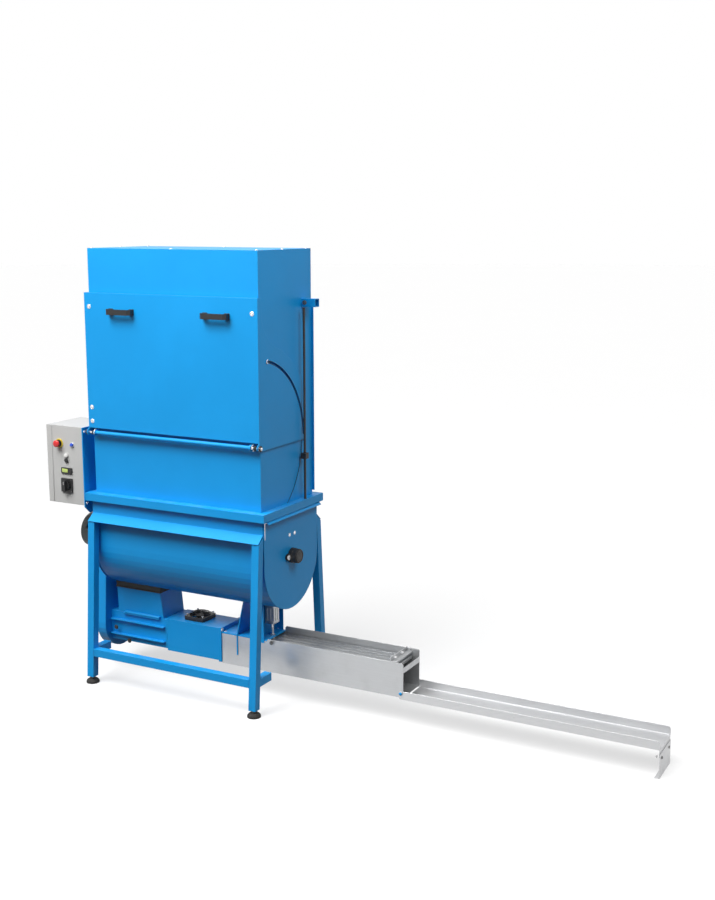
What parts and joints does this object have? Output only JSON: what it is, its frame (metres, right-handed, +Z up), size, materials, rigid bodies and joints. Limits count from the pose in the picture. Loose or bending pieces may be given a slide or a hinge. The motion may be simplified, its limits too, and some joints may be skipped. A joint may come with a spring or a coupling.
{
  "type": "foam compactor",
  "caption": "Screw-type foam compactor: hopper with swing-down door over a U-shaped shredder trough, compaction screw, aluminium brake channel and outfeed tray.",
  "frame": {"origin": "on the floor, under the middle of the bounding box", "axes": "+X along the outfeed from the hopper to the tray end, +Y to the back, +Z up"},
  "size_m": [3.2164, 0.732, 2.24],
  "materials": {
    "blue_powder_coat": "satin powder coat",
    "plated_steel": "zinc plated",
    "dark_steel": "oiled dark steel",
    "black_casting": "black painted casting",
    "rubber": "matt black rubber",
    "motor_grey": "dark grey painted casting",
    "black_plastic": "fine textured",
    "aluminium": "mill finish",
    "box_grey": "light grey powder coat",
    "yellow_plastic": "gloss",
    "red_plastic": "gloss",
    "blue_plastic": "translucent gloss",
    "white_plastic": "gloss"
  },
  "bodies": {
    "frame": {"hopper_top_cover": "blue_powder_coat", "hopper_hood_front": "blue_powder_coat", "hopper_front_lower": "blue_powder_coat", "hopper_back": "blue_powder_coat", "hopper_side_left": "blue_powder_coat", "hopper_side_right": "blue_powder_coat", "rear_cover_panel": "blue_powder_coat", "base_frame": "blue_powder_coat", "trough_shell": "blue_powder_coat", "trough_end_left": "blue_powder_coat", "trough_end_right": "blue_powder_coat", "stand_front": "blue_powder_coat", "stand_rear": "blue_powder_coat", "chain_guard_back": "blue_powder_coat", "chain_guard_cover": "blue_powder_coat", "throat_chute": "blue_powder_coat", "screw_housing": "blue_powder_coat", "press_box": "blue_powder_coat", "channel_top_plate": "blue_powder_coat", "channel_hanger_left": "blue_powder_coat", "channel_hanger_right": "blue_powder_coat", "control_box_bracket": "blue_powder_coat", "hinge_cross_tube": "blue_powder_coat", "hinge_bolt_left": "plated_steel", "hinge_bolt_right": "plated_steel", "foot_front_left": "rubber", "foot_front_right": "rubber", "foot_rear_left": "rubber", "foot_rear_right": "rubber", "rotor_bearing_left": "black_casting", "rotor_bearing_right": "black_casting", "drive_chain": "dark_steel", "drive_gearmotor": "motor_grey", "throat_gasket": "rubber", "cooling_fan_frame": "black_plastic", "brake_channel": "aluminium", "pressure_cylinder": "aluminium", "control_box_body": "box_grey", "control_box_lid": "box_grey", "estop_ring": "yellow_plastic", "hour_counter": "black_plastic", "switch_plate": "black_plastic", "side_guide_rod": "dark_steel"},
    "door": {"loading_door": "blue_powder_coat", "door_handle_left": "black_plastic", "door_handle_right": "black_plastic"},
    "rotor": {"shredder_rotor": "dark_steel", "rotor_sprocket": "dark_steel"},
    "screw": {"compaction_screw": "dark_steel", "screw_sprocket": "dark_steel"},
    "fan": {"cooling_fan_rotor": "black_plastic"},
    "rod": {"cylinder_rod": "plated_steel"},
    "pressure_plate": {"pressure_plate": "aluminium"},
    "tray": {"outfeed_tray": "aluminium", "tray_foot": "aluminium"},
    "estop": {"estop_button": "red_plastic"},
    "start": {"start_button": "blue_plastic"},
    "run": {"run_button": "white_plastic"},
    "halt": {"halt_button": "black_plastic"},
    "main_switch": {"switch_knob": "black_plastic"}
  },
  "joints": [
    {"name": "door_swing", "type": "hinge", "parent": "frame", "child": "door", "pos_m": [-0.80915, -0.2715, 1.317], "axis": [1, 0, 0], "range_deg": [0, 76.5]},
    {"name": "rotor_spin", "type": "hinge", "parent": "frame", "child": "rotor", "pos_m": [-0.80915, 0, 0.736], "axis": [1, 0, 0], "continuous": true},
    {"name": "screw_spin", "type": "hinge", "parent": "frame", "child": "screw", "pos_m": [-0.80915, 0, 0.245], "axis": [1, 0, 0], "continuous": true},
    {"name": "fan_spin", "type": "hinge", "parent": "frame", "child": "fan", "pos_m": [-0.85115, 0, 0.332], "axis": [0, 0, 1], "continuous": true},
    {"name": "rod_stroke", "type": "slide", "parent": "frame", "child": "rod", "axis": [0, 0, -1], "range_m": [0, 0.012]},
    {"name": "plate_tilt", "type": "hinge", "parent": "frame", "child": "pressure_plate", "pos_m": [0.32885, 0, 0.282], "axis": [0, -1, 0], "range_deg": [0, 0.95]},
    {"name": "tray_tilt", "type": "hinge", "parent": "frame", "child": "tray", "pos_m": [0.36585, 0, 0.161], "axis": [0, -1, 0], "range_deg": [0, 25]},
    {"name": "estop_press", "type": "slide", "parent": "frame", "child": "estop", "axis": [0, 1, 0], "range_m": [0, 0.005]},
    {"name": "start_press", "type": "slide", "parent": "frame", "child": "start", "axis": [0, 1, 0], "range_m": [0, 0.003], "stiffness_N_per_m": 400},
    {"name": "run_press", "type": "slide", "parent": "frame", "child": "run", "axis": [0, 1, 0], "range_m": [0, 0.003], "stiffness_N_per_m": 400},
    {"name": "halt_press", "type": "slide", "parent": "frame", "child": "halt", "axis": [0, 1, 0], "range_m": [0, 0.003], "stiffness_N_per_m": 400},
    {"name": "main_switch_turn", "type": "hinge", "parent": "frame", "child": "main_switch", "pos_m": [-1.48165, -0.28, 1.0225], "axis": [0, -1, 0], "range_deg": [-90, 0]}
  ],
  "couplings": [
    {"joint": "screw_spin", "follows": "rotor_spin", "ratio": 0.39474},
    {"joint": "plate_tilt", "follows": "rod_stroke", "rad_per_m": 1.3587}
  ]
}
